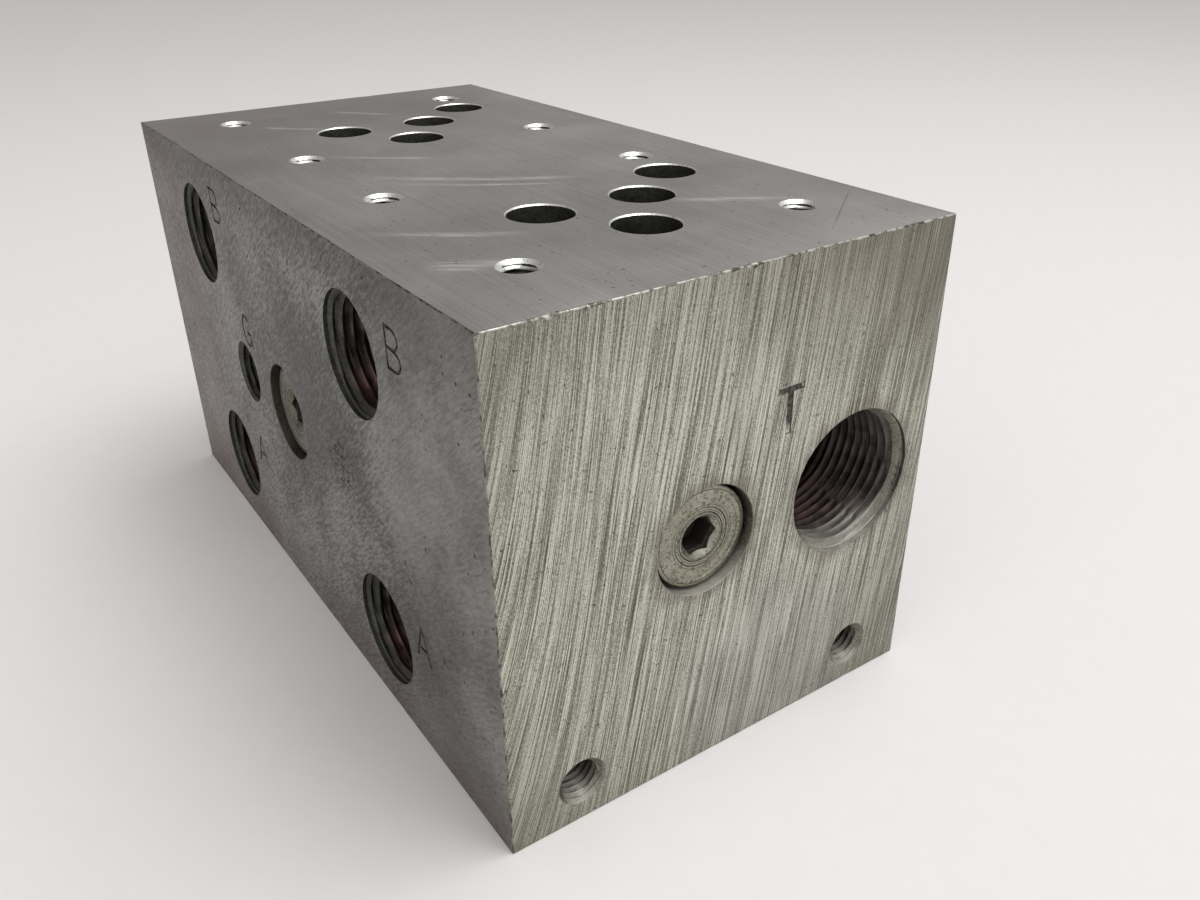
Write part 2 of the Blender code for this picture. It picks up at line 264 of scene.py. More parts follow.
class Finish(Nodes):
    """A material while it is wired."""

    def __init__(self, name, roughness=0.4, metallic=1.0):
        self.material = bpy.data.materials.new(name)
        self.material.use_nodes = True
        super().__init__(self.material.node_tree)
        self.shader = self.tree.nodes["Principled BSDF"]
        self.feed(self.shader.inputs["Roughness"], roughness)
        self.feed(self.shader.inputs["Metallic"], metallic)

    def millimetres(self):
        """Three wires: the point's own place on the object, in millimetres."""
        place = self.node("TexCoord", output="Object")
        scaled = self.node("VectorMath", {"operation": "SCALE"}, {0: place, "Scale": 1 / MM})
        return [self.node("SeparateXYZ", None, {0: scaled}, axis) for axis in range(3)]

    def noise(self, across, along=0.0, through=0.0, detail=2.0, roughness=0.5):
        """Cloudy value from 0 to 1, whose three coordinates are already in grain lengths."""
        point = self.node("CombineXYZ", None, {0: across, 1: along, 2: through})
        return self.node("TexNoise", None, {
            "Vector": point, "Scale": 1.0, "Detail": detail, "Roughness": roughness})

    def rise(self, value, start, end):
        """0 below start, 1 above end, smooth between."""
        return self.node("MapRange", {"interpolation_type": "SMOOTHSTEP"}, {
            "Value": value, "From Min": start, "From Max": end})

    def hairline(self, value, width):
        """1 on the thin line where a noise passes through its middle, 0 a width away from it."""
        return 1.0 - self.rise(abs(value - 0.5), 0.0, width)

    def attribute(self, name):
        """The number that the mesh carries at each point under this name."""
        return self.node("Attribute", {"attribute_name": name}, output="Fac")

    def blend(self, mask, first, second):
        """Colour that goes from the first to the second as the mask goes from 0 to 1."""
        sockets = {0: mask}
        for socket, colour in ((6, first), (7, second)):
            sockets[socket] = colour if isinstance(colour, Wire) else (*colour, 1.0)
        return self.node("Mix", {"data_type": "RGBA"}, sockets, 2)

    def set(self, **sockets):
        """Feed the shader: colour, roughness, metallic or height of the relief."""
        names = {"colour": "Base Color", "roughness": "Roughness", "metallic": "Metallic"}
        for name, value in sockets.items():
            self.feed(self.shader.inputs[names[name]], value)

    def relief(self, height, depth):
        """Bump the surface by a height from 0 to 1 that stands for so many millimetres."""
        bump = self.node("Bump", None, {"Height": height, "Strength": 1.0, "Distance": depth * MM})
        self.feed(self.shader.inputs["Normal"], bump)


print("shader kit ready")

# %% [markdown]
# ## Ground valve face
# The valves seal on the top, so it is ground: an even satin grey with hardly visible lines along
# the block and soft clouds where oil has dried. Valves slid on and off have left long, slightly
# bent rub streaks and a scratch or two; the streaks are painted brighter, as a highlight. Towards
# the far end the face carries a painted reflection of the dim surroundings. A streak is worked out
# from its middle, its direction and its length, because a picture of it could not be turned and
# moved so freely.


# %% Ground finish
# Each rub streak: its middle, degrees from X, half length and half width.
RUB_STREAKS = (
    ((15.2, -6.9), 54.8, 25.0, 2.2),
    ((18.6, -9.4), 54.0, 20.0, 1.2),
    ((43.5, -28.0), 55.0, 16.0, 1.8),
    ((53.5, 20.4), 56.0, 13.0, 2.0),
    ((-12.0, -14.0), 50.0, 14.0, 1.6),
    ((-52.0, -18.0), 46.0, 9.0, 1.4),
    ((59.5, -31.5), 62.0, 9.0, 4.2),
    ((-60.0, 2.0), 40.0, 10.0, 1.4),
)


def rub_streak(finish, x, y, middle, degrees, reach, width, bend=0.004):
    """1 on a slightly bent line through its middle, fading over its width and towards its ends.

    The line is across = bend along^2, in coordinates turned by so many degrees.
    """
    from_x = x - middle[0]
    from_y = y - middle[1]
    cosine, sine = math.cos(math.radians(degrees)), math.sin(math.radians(degrees))
    along = from_x * cosine + from_y * sine
    across = from_y * cosine - from_x * sine - along * along * bend
    on_line = 1.0 - finish.rise(abs(across), 0.0, width)
    return on_line * finish.rise(abs(along), reach, reach * 0.3)


def ground_steel():
    """Satin grey with fine lines along X, rub streaks, two dark scratches and clouds.

    The rub streaks are painted bright, as a highlight; the far end is painted dim, as a reflection.
    """
    finish = Finish("ground_steel")
    x, y, z = finish.millimetres()
    clouds = finish.noise(x / 26.0, y / 26.0, z / 26.0, detail=4.0)
    lines = finish.noise(x / 26.0, y / 0.38, z / 0.38, detail=2.0, roughness=0.6)
    grain = finish.noise(x / 0.4, y / 0.4, z / 0.4)
    hair = finish.noise((x + y * 1.4) / 16.0, (y - x * 1.4) / 0.9, 2.0, detail=3.0, roughness=0.6)
    streaks = sum(rub_streak(finish, x, y, *streak) for streak in RUB_STREAKS)
    rubbed_and_glint = streaks * finish.rise(hair, 0.36, 0.62)
    scratch = rub_streak(finish, x, y, (68.5, 32.0), -52.5, 15.0, 0.22, bend=0.0)
    scratch = scratch + rub_streak(finish, x, y, (30.0, 30.0), 12.0, 9.0, 0.16, bend=0.002)
    dots = finish.rise(finish.noise(x / 0.9, y / 0.9, 6.0, detail=1.0), 0.71, 0.74)
    light = clouds * 0.55 + lines * 0.33 + grain * 0.12
    base = finish.blend(finish.rise(light, 0.3, 0.7), (0.410, 0.412, 0.395), (0.610, 0.618, 0.598))
    # Painted reflection: towards the far end the face is painted a dim pinkish grey, the dim
    # surroundings mirrored in it.
    far_end_reflection = finish.rise(x + y * 0.5 + clouds * 40.0, 30.0, -60.0)
    far = finish.blend(far_end_reflection * 0.60, base, (0.34, 0.31, 0.298))
    # Painted highlight: the rub streaks are real marks, painted near white as the light they catch.
    bright = finish.blend(rubbed_and_glint * 0.75, far, (0.95, 0.95, 0.93))
    marked = finish.blend(dots * 0.7 + scratch * 0.5, bright, (0.10, 0.095, 0.085))
    finish.set(colour=marked, roughness=0.30 + clouds * 0.10 + lines * 0.05 + rubbed_and_glint * 0.08)
    finish.relief(lines * 0.6 + grain * 0.25 + rubbed_and_glint * 0.5 - scratch, 0.007)
    return finish.material


GROUND = ground_steel()
print("ground finish:", len(GROUND.node_tree.nodes), "nodes")


# %% [markdown]
# ## Sawn ends
# The bar was cut on a saw, and its teeth left a dense field of nearly upright lines. They lean
# more on the left than on the right, because the blade flexed. The lines are stretched noise: the
# coordinate across them is bent by the height, so a line follows the lean.


# %% Sawn finish
def sawn_steel():
    """Pale olive grey with fine leaning lines, dark and bright hairlines, furrows and specks."""
    finish = Finish("sawn_steel")
    x, y, z = finish.millimetres()
    lean = 0.17 - y * 0.0014 + finish.rise(y, -20.0, -46.0) * 0.18
    across = y - z * lean + finish.noise(y / 60.0, z / 60.0) * 0.8
    fine = finish.rise(finish.noise(across / 0.20, z / 16.0, x, detail=1.0), 0.40, 0.60)
    middle = finish.rise(finish.noise(across / 0.38, z / 40.0, x + 7.0, detail=1.0), 0.43, 0.57)
    left = finish.rise(y, -18.0, -40.0)
    broad = finish.noise(across / 2.0, z / 90.0, x + 3.0, detail=2.0) - 0.5
    broad = broad * (1.0 + left * 1.4) + 0.5
    grit = finish.rise(finish.noise(y / 0.28, z / 0.36, x, detail=2.0, roughness=0.7), 0.34, 0.66)
    hairs = finish.hairline(finish.noise(across / 0.62, z / 70.0, x + 1.0, detail=0.0), 0.05)
    hairs = hairs * finish.rise(finish.noise(across / 4.0, z / 18.0, x + 2.0), 0.40, 0.54)
    shines = finish.hairline(finish.noise(across / 0.66, z / 80.0, x + 9.0, detail=0.0), 0.05)
    shines = shines * finish.rise(finish.noise(across / 5.0, z / 20.0, x + 4.0), 0.42, 0.56)
    clouds = finish.noise(y / 18.0, z / 18.0, x, detail=4.0, roughness=0.6)
    worn = finish.noise(y / 3.5, z / 3.5, x + 5.0, detail=3.0)
    chips = finish.noise(y / 0.70, z / 0.90, x + 6.0, detail=3.0, roughness=0.7)
    specks = finish.rise(chips, 0.615, 0.67) * finish.rise(worn, 0.44, 0.56)
    from_middle = ((y + 3.0) / 44.0) ** 2.0 + ((z - 48.0) / 46.0) ** 2.0
    border = finish.rise(from_middle + clouds * 0.8, 0.9, 2.1)
    corner = finish.rise(y * 0.35 + z * 0.8 + clouds * 16.0, 60.0, 88.0)
    cool = finish.rise(((y - 10.0) ** 2.0 + (z - 12.0) ** 2.0) ** 0.5 + clouds * 10.0, 34.0, 14.0)
    light = fine * 0.30 + middle * 0.27 + grit * 0.29 + broad * 0.16 + clouds * 0.16 - 0.09
    base = finish.blend(finish.rise(light, 0.10, 0.90), (0.172, 0.169, 0.134), (0.695, 0.692, 0.600))
    rimmed = finish.blend(border * 0.48, base, (0.155, 0.150, 0.112))
    cooled = finish.blend(cool * 0.30, rimmed, (0.36, 0.365, 0.37))
    stained = finish.blend(corner * 0.55, cooled, (0.19, 0.165, 0.135))
    shining = finish.blend(shines * 0.50, stained, (0.74, 0.74, 0.66))
    soiled = shining
    for centre_y, mouth_radius in ((TANK_GALLERY, 13.4), (PRESSURE_GALLERY, 9.8)):
        distance = ((y - centre_y) ** 2.0 + (z - GALLERY_HEIGHT) ** 2.0) ** 0.5
        close = finish.rise(distance + worn * 6.0, mouth_radius + 6.2, mouth_radius + 2.2)
        soiled = finish.blend(close * 0.50, soiled, (0.130, 0.100, 0.078))
    lined = finish.blend(hairs * 0.68, soiled, (0.070, 0.066, 0.048))
    spotted = finish.blend(specks * 0.72, lined, (0.040, 0.037, 0.030))
    finish.set(colour=spotted, roughness=0.42 + (1.0 - fine) * 0.12 + border * 0.06)
    furrows = fine * 0.35 + middle * 0.35 + grit * 0.4 - hairs * 0.6 + shines * 0.4
    finish.relief(furrows - specks * 0.7, 0.035)
    return finish.material


SAWN = sawn_steel()
print("sawn finish:", len(SAWN.node_tree.nodes), "nodes")


# %% [markdown]
# ## Milled and aged sides
# The long sides and the base carry the old mill finish: darker, with a soft leaning grain, tiny
# rust pits in patches and a few loose scratches.


# %% Milled finish
def milled_steel():
    """Dull darker grey with a leaning grain, pits, dark spots and old scratches.

    It is darker under the top edge and in the middle, and a painted reflection tints it pinkish
    brown towards the far end and the bottom.
    """
    finish = Finish("milled_steel")
    x, y, z = finish.millimetres()
    along = x * 0.80 + z * 0.60
    across = z * 0.80 - x * 0.60 + y * 0.6
    grain = finish.noise(along / 2.6, across / 0.55, y, detail=3.0, roughness=0.65)
    grain = finish.rise(grain, 0.34, 0.66)
    fine = finish.noise(x / 0.5, z / 0.5, y / 0.5, detail=2.0, roughness=0.65)
    fine = finish.rise(fine, 0.34, 0.66)
    clouds = finish.noise(x / 28.0, z / 28.0, y / 28.0, detail=4.0, roughness=0.5)
    patches = finish.rise(finish.noise(x / 9.0, z / 9.0, y / 9.0, detail=3.0), 0.40, 0.60)
    chips = finish.noise(along / 1.0, across / 0.7, y + 4.0, detail=4.0, roughness=0.75)
    pitted_zone = finish.rise(x + clouds * 24.0, 74.0, 46.0) * 0.6 + 0.4
    pits = finish.rise(chips, 0.54, 0.64) * patches * pitted_zone
    spot_distance = ((x - 27.0) ** 2.0 + (z - 46.5) ** 2.0) ** 0.5
    holes = finish.rise(finish.noise(x / 1.3, z / 1.1, 1.0, detail=1.0), 0.57, 0.60)
    cluster = finish.rise(spot_distance, 8.0, 3.0) * holes * finish.rise(y, -43.0, -43.5)
    spots = finish.rise(finish.noise(x / 1.3, z / 1.3, y + 8.0, detail=1.0), 0.735, 0.76)
    scratch_noise = finish.noise(along / 9.0, across / 1.6, 4.0, detail=1.0)
    scratches = finish.hairline(scratch_noise, 0.014)
    scratches = scratches * finish.rise(finish.noise(x / 12.0, z / 12.0, 9.0), 0.52, 0.62)
    far = finish.rise(x + clouds * 30.0, 20.0, -60.0)
    low = finish.rise(z + clouds * 20.0, 34.0, 6.0)
    under_top = finish.rise(z + clouds * 14.0, 84.0, 95.0)
    middle = finish.rise(((x - 8.0) ** 2.0 + (z - 52.0) ** 2.0) ** 0.5 + clouds * 24.0, 46.0, 22.0)
    texture = (grain * 0.34 + fine * 0.20 - 0.27) * pitted_zone
    light = texture + finish.rise(clouds, 0.25, 0.75) * 0.42 + 0.25
    base = finish.blend(finish.rise(light, 0.12, 0.92), (0.100, 0.098, 0.090), (0.390, 0.387, 0.368))
    # Painted reflection: towards the far end and the bottom the side is tinted pinkish brown, the
    # shaded floor mirrored in it.
    painted_warm_reflection = finish.blend((far + low) * 0.42, base, (0.235, 0.182, 0.172))
    dark = finish.blend(under_top * 0.35 + middle * 0.34, painted_warm_reflection, (0.085, 0.080, 0.075))
    pitted = finish.blend(pits * 0.62 + scratches * 0.4, dark, (0.060, 0.055, 0.050))
    spotted = finish.blend(cluster + spots * 0.9, pitted, (0.012, 0.012, 0.012))
    finish.set(colour=spotted, roughness=0.42 + clouds * 0.16)
    finish.relief(grain * 0.5 + fine * 0.4 - pits * 0.8 - cluster - scratches * 0.4, 0.10)
    return finish.material


MILLED = milled_steel()
print("milled finish:", len(MILLED.node_tree.nodes), "nodes")


# %% [markdown]
# ## Worn edges, bored walls and stamped grooves
# Edges are rubbed, with dirt left in their nicks; the tank end's top edge is bare and carries a
# painted highlight. Walls of the holes are plain steel, painted darker the deeper they are, as
# shade, and reddish brown deeper down on walls that face up: the depth comes from an attribute
# on the mesh. The grooves of the stamped letters hold dirt.


# %% Edge, bore and stamp finishes
def edge_steel():
    """Dark rubbed steel; along the tank end's top edge it is bare and worn, with a painted highlight.
    """
    finish = Finish("worn_edge_steel")
    x, y, z = finish.millimetres()
    rubs = finish.noise(x / 1.6, y / 1.6, z / 1.6, detail=3.0, roughness=0.65)
    worn_top_edge_glint = finish.rise(z, TOP - 2.0, TOP - 0.8) * finish.rise(x, 80.0, 81.6)
    base = finish.blend(finish.rise(rubs, 0.34, 0.6), (0.085, 0.082, 0.068), (0.30, 0.295, 0.255))
    rubbed_and_glint = worn_top_edge_glint * finish.rise(rubs, 0.40, 0.66)
    # Painted highlight: the tank end's top edge is bare worn steel, painted bright as the light it
    # catches.
    bright = finish.blend(rubbed_and_glint, base, (0.54, 0.54, 0.49))
    finish.set(colour=bright, roughness=0.36 + (1.0 - rubs) * 0.2)
    finish.relief(rubs, 0.05)
    return finish.material


def bored_steel():
    """Cut steel, painted darker with depth as shade, and reddish brown deeper on the walls that face
    up.

    The bores in the port face and in the valve face are painted darker, as shade. The rims of the
    valve face are bare, with a painted highlight. The walls that face up next to the tank end are
    painted pale too, because the light falls on them.
    """
    finish = Finish("bored_steel")
    x, y, z = finish.millimetres()
    depth = finish.attribute("bore_depth")
    stains = finish.noise(x / 2.6, y / 2.6, z / 2.6, detail=3.0)
    grain = finish.rise(finish.noise(x / 0.35, y / 0.35, z / 0.35, detail=2.0), 0.3, 0.7)
    normal = finish.node("NewGeometry", output="Normal")
    up = finish.node("SeparateXYZ", None, {0: normal}, 2)
    # Painted shade: bores in the port face and in the valve face are painted darker than the others.
    shaded_face_bores = finish.rise(y, -30.0, -36.0) + finish.rise(z, 80.0, 84.0)
    light = grain * 0.45 + stains * 0.55
    pale = finish.blend(light, (0.13, 0.126, 0.098), (0.36, 0.355, 0.30))
    dull = finish.blend(light, (0.045, 0.047, 0.040), (0.150, 0.152, 0.130))
    wall_with_face_shade = finish.blend(shaded_face_bores, pale, dull)
    deep_light = finish.rise(stains, 0.35, 0.65)
    deep = finish.blend(deep_light, (0.050, 0.046, 0.042), (0.110, 0.104, 0.096))
    grime = finish.rise(finish.noise(x / 0.9, y / 0.9, z / 0.9, detail=3.0, roughness=0.7), 0.52, 0.64)
    soiled = finish.blend(grime * 0.6, wall_with_face_shade, (0.055, 0.050, 0.042))
    # Painted shade: the walls are painted darker the deeper they lie in the hole.
    depth_shaded = finish.blend(finish.rise(depth, 0.6, 4.5), soiled, deep)
    # Reddish brown on the deeper walls that face up, more in the bores of the port and valve faces.
    up_wall_tint = finish.rise(depth, 1.2, 4.0) * finish.rise(up, 0.1, 0.75) * finish.rise(stains, 0.30, 0.70)
    tinted_walls = finish.blend(up_wall_tint * (0.45 + shaded_face_bores * 0.35), depth_shaded, (0.23, 0.105, 0.100))
    # Painted highlight: the valve-face rims are bare steel, painted near white as the lit far wall of
    # each hole.
    rim_highlight = finish.rise(z, TOP - 1.4, TOP - 0.9) * finish.rise(up, 0.25, 0.6)
    lit = finish.rise(x, 74.0, 77.0) * finish.rise(up, 0.25, 0.95) * (0.5 + stains * 0.8)
    sheen = finish.blend(lit * 0.65, tinted_walls, (0.60, 0.59, 0.54))
    rimmed = finish.blend(rim_highlight * finish.rise(grain, -0.4, 0.4), sheen, (0.86, 0.86, 0.83))
    finish.set(colour=rimmed, roughness=0.46 + stains * 0.14 - rim_highlight * 0.16, metallic=1.0 - lit * 0.5)
    finish.relief(grain * 0.6 + stains * 0.4, 0.014)
    return finish.material


def stamped_steel():
    """Trough of a stamped letter: dark walls, and a bottom that wide strokes show bare."""
    finish = Finish("stamped_steel", metallic=0.7)
    x, y, z = finish.millimetres()
    sink = finish.attribute("bore_depth")
    dirt = finish.noise(x / 0.7, y / 0.7, z / 0.7, detail=3.0, roughness=0.7)
    dark = finish.blend(finish.rise(dirt, 0.35, 0.65), (0.030, 0.026, 0.022), (0.14, 0.13, 0.112))
    bare = finish.blend(finish.rise(dirt, 0.3, 0.7), (0.38, 0.37, 0.31), (0.76, 0.75, 0.66))
    colour = finish.blend(finish.rise(sink, 0.7, 0.98), dark, bare)
    finish.set(colour=colour, roughness=0.5 + dirt * 0.2)
    finish.relief(dirt, 0.05)
    return finish.material


EDGE, BORED, STAMPED = edge_steel(), bored_steel(), stamped_steel()
print("block finishes:", [m.name for m in (GROUND, SAWN, MILLED, EDGE, BORED, STAMPED)])

# %% [markdown]
# ## The block's blank
# A cube with a bevel would have twelve perfect edges. Here each edge is a strip whose rounding
# changes along it, with small nicks, so it glints unevenly. The six flats between them stay exact.

# %% Rounded edges that wear unevenly
EDGE_RADIUS = 0.20
EDGE_STEP = 0.6
PLAIN_EDGE = (0.08, 20.0, 0.35)    # wear, spacing of nicks, depth of the deepest nick
ROUGH_EDGE = (0.20, 6.0, 0.55)
SMOOTHEST_WEAR = -0.08             # how far wear may sharpen an edge
CORNER_FADE = 2.0                  # wear fades over this distance to a corner
EDGE_ARC = np.radians(np.linspace(0.0, 90.0, 5))
random = np.random.default_rng(11)


def smooth_noise(along, grain):
    """Random heights from 0 to 1, a grain apart, joined by straight lines."""
    knots = np.arange(along[0] - grain, along[-1] + 2 * grain, grain)
    return np.interp(along, knots, random.random(len(knots)))


def edge_radius(along, wear, nick_spacing, deepest):
    """Rounding along an edge: a mean, three grains of noise and scattered nicks.

    Near both ends it fades to the plain radius, so that three edges meet in one round corner.
    """
    grains = ((0.5, 13.0), (0.3, 4.1), (0.2, 1.4))
    noise = sum(share * smooth_noise(along, grain) for share, grain in grains)
    radius = wear * (noise - 0.35)
    nicks = random.uniform(along[0], along[-1], int((along[-1] - along[0]) / nick_spacing))
    depths = random.uniform(0.05, 1.0, len(nicks)) ** 2 * deepest
    widths = random.uniform(0.3, 1.3, len(nicks))
    bumps = depths * np.exp(-((along[:, None] - nicks) / widths) ** 2)
    fade = np.clip((along[-1] - np.abs(along)) / CORNER_FADE, 0.0, 1.0)
    return EDGE_RADIUS + fade * np.maximum(radius + bumps.sum(axis=1), SMOOTHEST_WEAR)


print("edges: rounding", EDGE_RADIUS, "mm, a point each", EDGE_STEP, "mm")


# %% The blank from twelve strips, six flats and eight corners
GROUND_SLOT, SAWN_SLOT, MILLED_SLOT, EDGE_SLOT = range(4)


def rounded_blank(half):
    """Points and faces of a box with rounded edges, about its own centre.

    An edge strip is a grid: along the edge, and around a quarter circle whose radius varies. A
    flat is one face between four strips, and a corner is an eighth of a ball. Each face also
    gets the number of its finish.
    """
    points, faces, finishes, borders = [], [], [], {}

    def add(block_points, block_faces, finish):
        start = sum(len(group) for group in points)
        points.append(block_points)
        faces.extend((np.array(block_faces) + start).tolist())
        finishes.extend([finish] * len(block_faces))

    for axis in range(3):
        second, third = (axis + 1) % 3, (axis + 2) % 3
        reach = half[axis] - EDGE_RADIUS
        along = np.linspace(-reach, reach, int(2 * reach / EDGE_STEP))
        for sign_two in (-1, 1):
            for sign_three in (-1, 1):
                rough = axis == 1 and sign_two == 1 and sign_three == 1
                radius = edge_radius(along, *(ROUGH_EDGE if rough else PLAIN_EDGE))[:, None]
                strip = np.zeros((len(along), len(EDGE_ARC), 3))
                strip[..., axis] = along[:, None]
                strip[..., second] = sign_two * (half[second] - radius + radius * np.cos(EDGE_ARC))
                strip[..., third] = sign_three * (half[third] - radius + radius * np.sin(EDGE_ARC))
                strip_faces = grid_faces(len(along), len(EDGE_ARC), closed=False)
                add(strip.reshape(-1, 3), strip_faces, EDGE_SLOT)
                borders[second, sign_two, axis, sign_three] = strip[:, 0]
                borders[third, sign_three, axis, sign_two] = strip[:, -1]
    for axis in range(3):
        second, third = (axis + 1) % 3, (axis + 2) % 3
        for sign in (-1, 1):
            outline = np.vstack((
                borders[axis, sign, second, -1][:-1], borders[axis, sign, third, 1][:-1],
                borders[axis, sign, second, 1][:0:-1], borders[axis, sign, third, -1][:0:-1]))
            finish = (SAWN_SLOT, MILLED_SLOT, GROUND_SLOT if sign > 0 else MILLED_SLOT)[axis]
            add(outline, [list(range(len(outline)))], finish)
    swing, lift = EDGE_ARC[None, :], EDGE_ARC[:, None]
    ball = np.stack(np.broadcast_arrays(
        np.cos(lift) * np.cos(swing), np.cos(lift) * np.sin(swing), np.sin(lift)), axis=-1)
    for signs in np.ndindex(2, 2, 2):
        sign = 2 * np.array(signs) - 1
        corner = sign * (half - EDGE_RADIUS + EDGE_RADIUS * ball.reshape(-1, 3))
        add(corner, grid_faces(len(EDGE_ARC), len(EDGE_ARC), closed=False), EDGE_SLOT)
    return np.vstack(points), faces, finishes


blank_points, blank_faces, blank_finishes = rounded_blank((high - low) / 2)
block = make_piece("drilled_block", blank_points + (high + low) / 2, blank_faces,
                   GROUND, SAWN, MILLED, EDGE, BORED, STAMPED)
block.data.polygons.foreach_set("material_index", blank_finishes)
face_outwards(block.data, merge_distance=0.001 * MM)
print("blank:", len(block.data.vertices), "points")

# %% [markdown]
# ## The drillings
# Each hole is one turned surface: an outline from the mouth down, in pairs of radius and depth,
# and a thread formula on the stretch that is tapped. Cut from the blank, they meet inside as the
# real passages do. The wall of each hole carries its depth as an attribute, for its finish.

# %% Hole surfaces
OUTSIDE = -1.5
POINT_SLOPE = math.tan(math.radians(59))
CHISEL_EDGE = 0.15
SEAT_DEPTH = 0.7
holes = []


def finer(outline, spacing, deepest, widest):
    """Outline with points added where a thread can reach: above the deepest, inside the widest."""
    pieces = []
    for start, end in zip(outline[:-1], outline[1:]):
        tapped = start[1] < deepest and end[1] > 0.0 and end[0] < widest
        count = math.ceil((end[1] - start[1]) / spacing) if tapped else 1
        pieces.append(np.linspace(start, end, max(count, 1), endpoint=False))
    return np.vstack((*pieces, outline[-1]))


def drill_hole(mouth, outward, outline, columns, thread=None, rows_per_turn=6, finish=None):
    """Add one hole to be cut: a turned surface, its radius widened by the thread's grooves.

    thread is its title in THREADS and the depth where it ends; it fades out over two turns.
    """
    point = outline[-1][1] + (outline[-1][0] - CHISEL_EDGE) / POINT_SLOPE
    outline = [(outline[0][0], OUTSIDE), *outline, (CHISEL_EDGE, point)]
    pitch, major, drill, end = (*THREADS[thread[0]], thread[1]) if thread else (1.0, 0.0, 0.0, 0.0)
    rows = finer(np.array(outline, float), pitch / rows_per_turn, end, major / 2)
    radius, depth = rows[:, :1], rows[:, 1:]
    fade = np.clip((end - depth) / (2.0 * pitch), 0.0, 1.0)
    groove = drill / 2 + (major - drill) / 2 * fade * thread_wave(-depth, pitch, columns)
    widened = np.where(depth < end, np.maximum(radius, groove), radius)
    points, faces = turned(widened, -depth)
    hole = make_piece(f"hole_{len(holes)}", set_out(points, mouth, outward), faces, finish or BORED)
    attribute = hole.data.attributes.new("bore_depth", "FLOAT", "POINT")
    attribute.data.foreach_set("value", np.maximum(-points[:, 2], 0.0))
    holes.append(hole)


def tapped_mouth(thread):
    """Outline of a port's mouth: a shallow seat, a step, and a cone down to the thread."""
    major_radius, drill_radius = (size / 2 for size in THREADS[thread][1:])
    seat = major_radius + 0.22
    return [(seat, 0.0), (seat, SEAT_DEPTH), (major_radius + 0.02, SEAT_DEPTH + 0.08),
            (drill_radius, SEAT_DEPTH + 1.5)]


print("hole formula ready")

# %% [markdown]
# ### Valve face
# Four ports lead each valve's oil down, and four bolts hold it. The ports are drilled to just
# past the passage that they meet and have only the finest edge break.

# %% Valve ports and bolt holes
VALVE_PORTS = (((16.7, 0.0), GALLERY_HEIGHT), ((-9.5, 23.8), GALLERY_HEIGHT),
               ((1.6, PORT_ACROSS), PORT_A_HEIGHT), ((1.6, -PORT_ACROSS), PORT_B_HEIGHT))
for station in STATIONS:
    for (along, across), meets in VALVE_PORTS:
        drill_hole((station + along, CENTRE_LINE + across, TOP), UP,
                   [(6.0, 0.0), (5.75, 0.25), (5.75, TOP - meets + DRILL_OVERRUN)], columns=64)
    for along in (-0.5, 0.5):
        for across in (-0.5, 0.5):
            place = (station + along * BOLT_SPACING[0], CENTRE_LINE + across * BOLT_SPACING[1], TOP)
            drill_hole(place, UP, [(3.5, 0.0), (2.5, 1.0), (2.5, 16.0)],
                       columns=26, thread=("M6", 14.0), rows_per_turn=5)
print("valve faces:", len(holes), "holes")

# %% [markdown]
# ### Ports in the sides
# The fittings screw in here. Each port has a shallow seat, a cone and then the thread, and ends
# in the narrower drilling that feeds it.

# %% Working ports, end ports, gauge port, mounting holes
for station in STATIONS:
    for height, across in ((PORT_A_HEIGHT, PORT_ACROSS), (PORT_B_HEIGHT, -PORT_ACROSS)):
        reach = CENTRE_LINE + across + DRILL_OVERRUN - PORT_FACE
        drill_hole((station + WORKING_PORT_SHIFT, PORT_FACE, height), TO_PORT_FACE,
                   [*tapped_mouth("G 1/2"), (9.4, 17.0), (7.0, 17.0), (7.0, reach)],
                   columns=78, thread=("G 1/2", 16.0))
for end, outward, across in ((END_TANK, TO_TANK_END, TANK_GALLERY),
                             (END_PRESSURE, TO_PRESSURE_END, PRESSURE_GALLERY)):
    drill_hole((end, across, GALLERY_HEIGHT), outward,
               [*tapped_mouth("G 3/4"), (12.15, 20.0)],
               columns=96, thread=("G 3/4", 19.0), rows_per_turn=7)
    for side in (-0.5, 0.5):
        drill_hole((end, side * MOUNT_HOLE_SPACING, MOUNT_HOLE_HEIGHT), outward,
                   [(4.5, 0.0), (3.4, 1.1), (3.4, 20.0)],
                   columns=36, thread=("M8", 15.0), rows_per_turn=5)
drill_hole((GAUGE_X, PORT_FACE, GALLERY_HEIGHT), TO_PORT_FACE,
           [(6.7, 0.0), (5.9, 0.8), (5.9, 13.0), (3.0, 13.0), (3.0, PRESSURE_GALLERY - PORT_FACE)],
           columns=56, thread=("G 1/4", 12.5))
print("with the ports:", len(holes), "holes")

# %% [markdown]
# ### Plugged drillings
# The galleries and the cross drilling are tapped and counterbored, so that a plug and its ring
# sink below the face.

